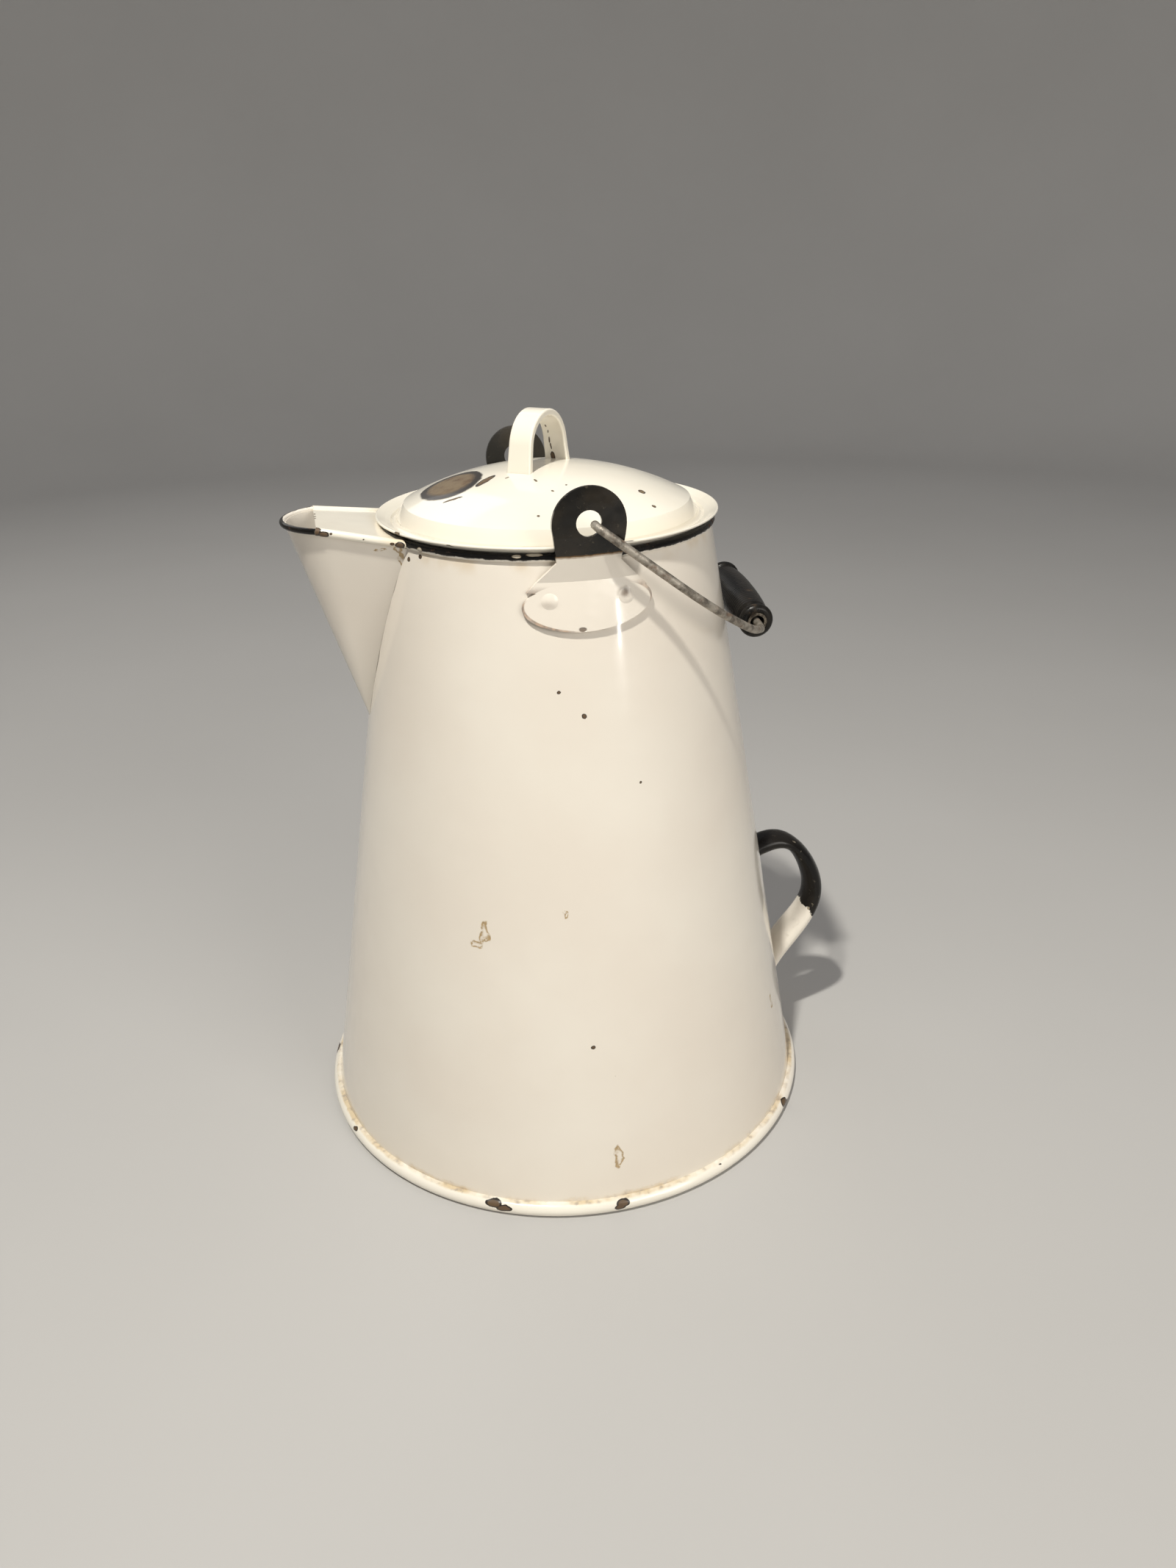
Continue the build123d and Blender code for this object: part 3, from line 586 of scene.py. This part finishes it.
def worn_wire(name):
    """Old tinned wire: dull grey with darker blotches and brown rust in the pits."""
    g = Graph(name)
    blotch = g.noise(150, 5, 0.65)
    grain = g.noise(900, 4, 0.7)
    colour = g.blend(g.step(blotch, 0.40, 0.64), rgb(0.44, 0.40, 0.34), rgb(0.15, 0.13, 0.105))
    rust = g.maths("MULTIPLY", g.step(g.noise(240, 5, 0.7), 0.52, 0.66), 0.7)
    colour = g.blend(rust, colour, rgb(0.13, 0.065, 0.03))
    colour = g.blend(g.maths("MULTIPLY", g.step(grain, 0.55, 0.75), 0.35), colour, rgb(0.42, 0.40, 0.36))
    rough = g.step(grain, 0.3, 0.7, 0.38, 0.62)
    normal = g.bump(g.maths("ADD", grain, blotch), 0.00035, 0.7)
    return g.finish(colour, rough, normal, metallic=g.step(rust, 0.1, 0.5, 0.7, 0.15))


LATHE_PITCH = 0.0021


def painted_wood(name, middle, along):
    """Black paint on turned wood: lathe rings, faint grain, brown where it has worn through."""
    g = Graph(name)
    run = g.vector("DOT_PRODUCT", g.vector("SUBTRACT", g.place, tuple(middle)), tuple(along))
    rings = g.maths("SINE", g.maths("MULTIPLY", run, 2 * math.pi / LATHE_PITCH))
    grain = g.noise(160, 4, 0.6, stretch=(1, 0.12, 1))
    colour = g.blend(g.step(grain, 0.35, 0.7), rgb(0.0050, 0.0048, 0.0045), rgb(0.014, 0.012, 0.010))
    wear = g.step(g.noise(120, 5, 0.7), 0.60, 0.68)
    colour = g.covered(0.55, wear, colour, rgb(0.07, 0.045, 0.028))
    rough = g.step(grain, 0.3, 0.7, 0.20, 0.34)
    height = g.maths("ADD", g.maths("MULTIPLY", rings, 0.10), g.maths("MULTIPLY", grain, 0.8))
    return g.finish(colour, rough, g.bump(height, 0.0004, 0.8), specular=0.22)


def eyelet_steel(name):
    """Blackened steel eyelet, rubbed bright in patches."""
    g = Graph(name)
    grain = g.noise(500, 4, 0.65)
    colour = g.blend(g.step(grain, 0.4, 0.65), rgb(0.05, 0.042, 0.034), rgb(0.22, 0.19, 0.15))
    return g.finish(colour, g.step(grain, 0.3, 0.7, 0.3, 0.5), g.bump(grain, 0.0003, 0.5), metallic=0.85)


# ---------------------------------------------------------------- the kettle's finishes


def dress(names, material):
    for name in names:
        obj = nodes[name]
        obj.data.materials.clear()
        obj.data.materials.append(material)


def make_finishes():
    body = enamel("enamel_body", BODY_WHITE, BODY_SHADE, WALL_CHIPS, WALL_STAINS, extra=wall_extra)
    dress(["body_shell", "bottom_plate", "spout_strainer", "rear_handle_foot"], body)
    dress(["foot_bead"], enamel("enamel_foot", LID_WHITE, BODY_WHITE, FOOT_CHIPS, extra=foot_extra))
    lid = enamel("enamel_lid", LID_WHITE, LID_SHADE, LID_CHIPS, extra=lid_extra, dark=0.0)
    dress(["lid_shell", "lid_collar"], lid)
    dress(["lid_strap"], enamel("enamel_strap", LID_WHITE, LID_SHADE, STRAP_CHIPS, extra=strap_extra))
    spout = enamel("enamel_spout", BODY_WHITE, BODY_SHADE, SPOUT_CHIPS, SPOUT_STAINS)
    dress(["spout_shell"], spout)
    dress(["spout_cover"], enamel("enamel_cover", LID_WHITE, LID_SHADE, SPOUT_CHIPS, extra=cover_extra))
    ears = ear_material("enamel_ear")
    dress(["ear_plate_near", "ear_plate_far", "ear_rivets"], ears)
    lip = black_enamel("enamel_lip", inside_lip, worn=0.57)
    dress(["spout_lip_bead"], lip)
    rim_edge = below_brush_line(0.33975, 0.0, 0.0026)
    dress(["top_rim_bead"], black_enamel("enamel_rim", rim_edge, worn=0.60, chips=RIM_CHIPS))
    handle_line = below_brush_line(0.4056, -2.05, 0.018, 0.1160)
    handle = black_enamel("enamel_handle", handle_line, 0.64, HANDLE_CHIPS, rgb(0.22, 0.19, 0.14))
    dress(["rear_handle"], handle)
    dress(["bail_wire", "rim_wire"], worn_wire("wire_steel"))
    dress(["grip_ferrules"], eyelet_steel("eyelet_steel"))


make_finishes()


# ---------------------------------------------------------------- the turned grip


def skin(name, rings, closed=False, capped=False):
    """Smooth object over rings of points, each joined to the next. closed joins the last ring to
    the first, and capped puts a flat face in the first."""
    bm = bmesh.new()
    rings = [[bm.verts.new(point) for point in ring] for ring in rings]
    if capped:
        bm.faces.new(rings[0])
    for near, far in zip(rings, rings[1:] + rings[:1] if closed else rings[1:]):
        for k in range(len(near)):
            n = (k + 1) % len(near)
            bm.faces.new((near[k], far[k], far[n], near[n])).smooth = True
    if closed:
        bmesh.ops.recalc_face_normals(bm, faces=bm.faces)
    bm.normal_update()
    mesh = bpy.data.meshes.new(name)
    bm.to_mesh(mesh)
    bm.free()
    obj = bpy.data.objects.new(name, mesh)
    bpy.context.scene.collection.objects.link(obj)
    return obj


def turns(count):
    """Angles of that many equal steps round a circle."""
    return [2 * math.pi * k / count for k in range(count)]


# The grip's own axis, and sizes in mm. Along it from the middle come the barrel, the groove, and
# the bead, which is an arc about BEAD_AT.
GRIP_ALONG = Vector((0.0997, 0.9934, 0.0576)).normalized()
GRIP_HALF, GRIP_BORE_R, GRIP_END_R = 38.8, 4.55, 7.0
BARREL_HALF, BARREL_R, SHOULDER_R, BARREL_POWER = 29.6, 9.9, 8.5, 2.4
GROOVE = [(30.4, 8.2), (30.9, 7.8), (31.4, 7.6), (32.0, 7.6), (32.5, 7.85)]
BEAD_AT, BEAD_SIZE, BEAD_SWEEP = (35.9, 6.0), (3.1, 3.2), 62
BORE_DEPTH, BORE_TAPER = 6, 0.6
BARREL_STEPS, BEAD_STEPS, GRIP_TURNS = 24, 12, 96


def grip_profile():
    """Half profile of the grip as (distance from its middle, radius), in mm."""
    points = []
    for i in range(BARREL_STEPS + 1):
        share = i / BARREL_STEPS
        points.append((BARREL_HALF * share, BARREL_R - (BARREL_R - SHOULDER_R) * share**BARREL_POWER))
    points += GROOVE
    for i in range(BEAD_STEPS + 1):
        a = math.radians(BEAD_SWEEP * (2 * i / BEAD_STEPS - 1))
        points.append((BEAD_AT[0] + BEAD_SIZE[0] * math.sin(a), BEAD_AT[1] + BEAD_SIZE[1] * math.cos(a)))
    points += [(GRIP_HALF, GRIP_END_R), (GRIP_HALF, GRIP_BORE_R)]
    return points + [(GRIP_HALF - BORE_DEPTH, GRIP_BORE_R - BORE_TAPER)]


def make_grip():
    """Turned wooden grip with a round bead at each end, on the wire where the CAD grip is."""
    lo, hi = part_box("bail_grip")
    middle = (lo + hi) / 2
    side = GRIP_ALONG.cross(Vector((0, 0, 1))).normalized()
    up = side.cross(GRIP_ALONG)
    half = grip_profile()
    profile = [(-along, r) for along, r in reversed(half)] + half[1:]
    rings = []
    for along, r in profile:
        outs = [side * math.cos(a) + up * math.sin(a) for a in turns(GRIP_TURNS)]
        rings.append([middle + (GRIP_ALONG * along + out * r) * MM for out in outs])
    grip = skin("turned_grip", rings, closed=True)
    grip.data.materials.append(painted_wood("wood_grip", middle, GRIP_ALONG))
    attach(grip, "grip")
    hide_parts("bail_grip")


make_grip()


# ---------------------------------------------------------------- stage

FLOOR_HUB_R, FLOOR_R, BEND_R = 0.6, 2.1, 0.8
BACKDROP_H = 1.9
STAGE_TURNS, STAGE_BENDS = 96, 16


def make_stage():
    """Round grey floor that curves up into a backdrop all the way round."""
    profile = [(FLOOR_HUB_R, 0.0), (FLOOR_R, 0.0)]
    for i in range(1, STAGE_BENDS + 1):
        a = math.radians(90 * i / STAGE_BENDS)
        profile.append((FLOOR_R + BEND_R * math.sin(a), BEND_R - BEND_R * math.cos(a)))
    profile.append((FLOOR_R + BEND_R, BACKDROP_H))
    rings = [[(r * math.cos(a), r * math.sin(a), z) for a in turns(STAGE_TURNS)] for r, z in profile]
    floor = skin("floor", rings, capped=True)
    g = Graph("floor_paper")
    colour = g.blend(g.noise(3, 3), rgb(0.46, 0.45, 0.435), rgb(0.50, 0.49, 0.475))
    floor.data.materials.append(g.finish(colour, 0.75, specular=0.2))


LIGHTS_AIM = Vector((0, 0, 0.22))


def area_light(name, at, size, power, colour):
    data = bpy.data.lights.new(name, "AREA")
    data.shape = "RECTANGLE"
    data.size, data.size_y = size
    data.energy = power
    data.color = colour
    obj = bpy.data.objects.new(name, data)
    obj.location = at
    obj.rotation_euler = (LIGHTS_AIM - Vector(at)).to_track_quat("-Z", "Y").to_euler()
    bpy.context.scene.collection.objects.link(obj)


def make_lights():
    area_light("key", (-0.48, -0.60, 1.76), (0.07, 0.07), 29, (1.0, 0.970, 0.900))
    area_light("fill", (0.75, -1.50, 0.85), (0.9, 0.9), 12.5, (1.0, 0.965, 0.905))
    area_light("glint", (1.07, -1.80, 0.31), (0.03, 0.08), 0.9, (1.0, 0.98, 0.95))
    area_light("back", (-0.6, 1.3, 1.3), (1.0, 1.0), 3, (1.0, 0.98, 0.95))
    world = bpy.data.worlds.new("studio")
    world.use_nodes = True
    background = world.node_tree.nodes["Background"].inputs
    background["Color"].default_value = rgb(0.93, 0.94, 1.0)
    background["Strength"].default_value = 0.24
    bpy.context.scene.world = world


CAMERA_AT = (-0.12271, -0.60314, 0.47706)
CAMERA_TURN, CAMERA_DOWN, CAMERA_ROLL = 13.185, 25.2625, -1.179
CAMERA_LENS, SENSOR_WIDTH, CLIP_START = 27.204, 36, 0.01


def make_camera():
    data = bpy.data.cameras.new("camera")
    data.sensor_width = SENSOR_WIDTH
    data.lens = CAMERA_LENS
    data.clip_start = CLIP_START
    camera = bpy.data.objects.new("camera", data)
    turn = Matrix.Rotation(math.radians(-CAMERA_TURN), 4, "Z")
    down = Matrix.Rotation(math.radians(90 - CAMERA_DOWN), 4, "X")
    roll = Matrix.Rotation(math.radians(CAMERA_ROLL), 4, "Z")
    camera.matrix_world = Matrix.Translation(CAMERA_AT) @ turn @ down @ roll
    bpy.context.scene.collection.objects.link(camera)
    bpy.context.scene.camera = camera


make_stage()
make_lights()
make_camera()
bpy.context.scene.view_settings.view_transform = "Standard"
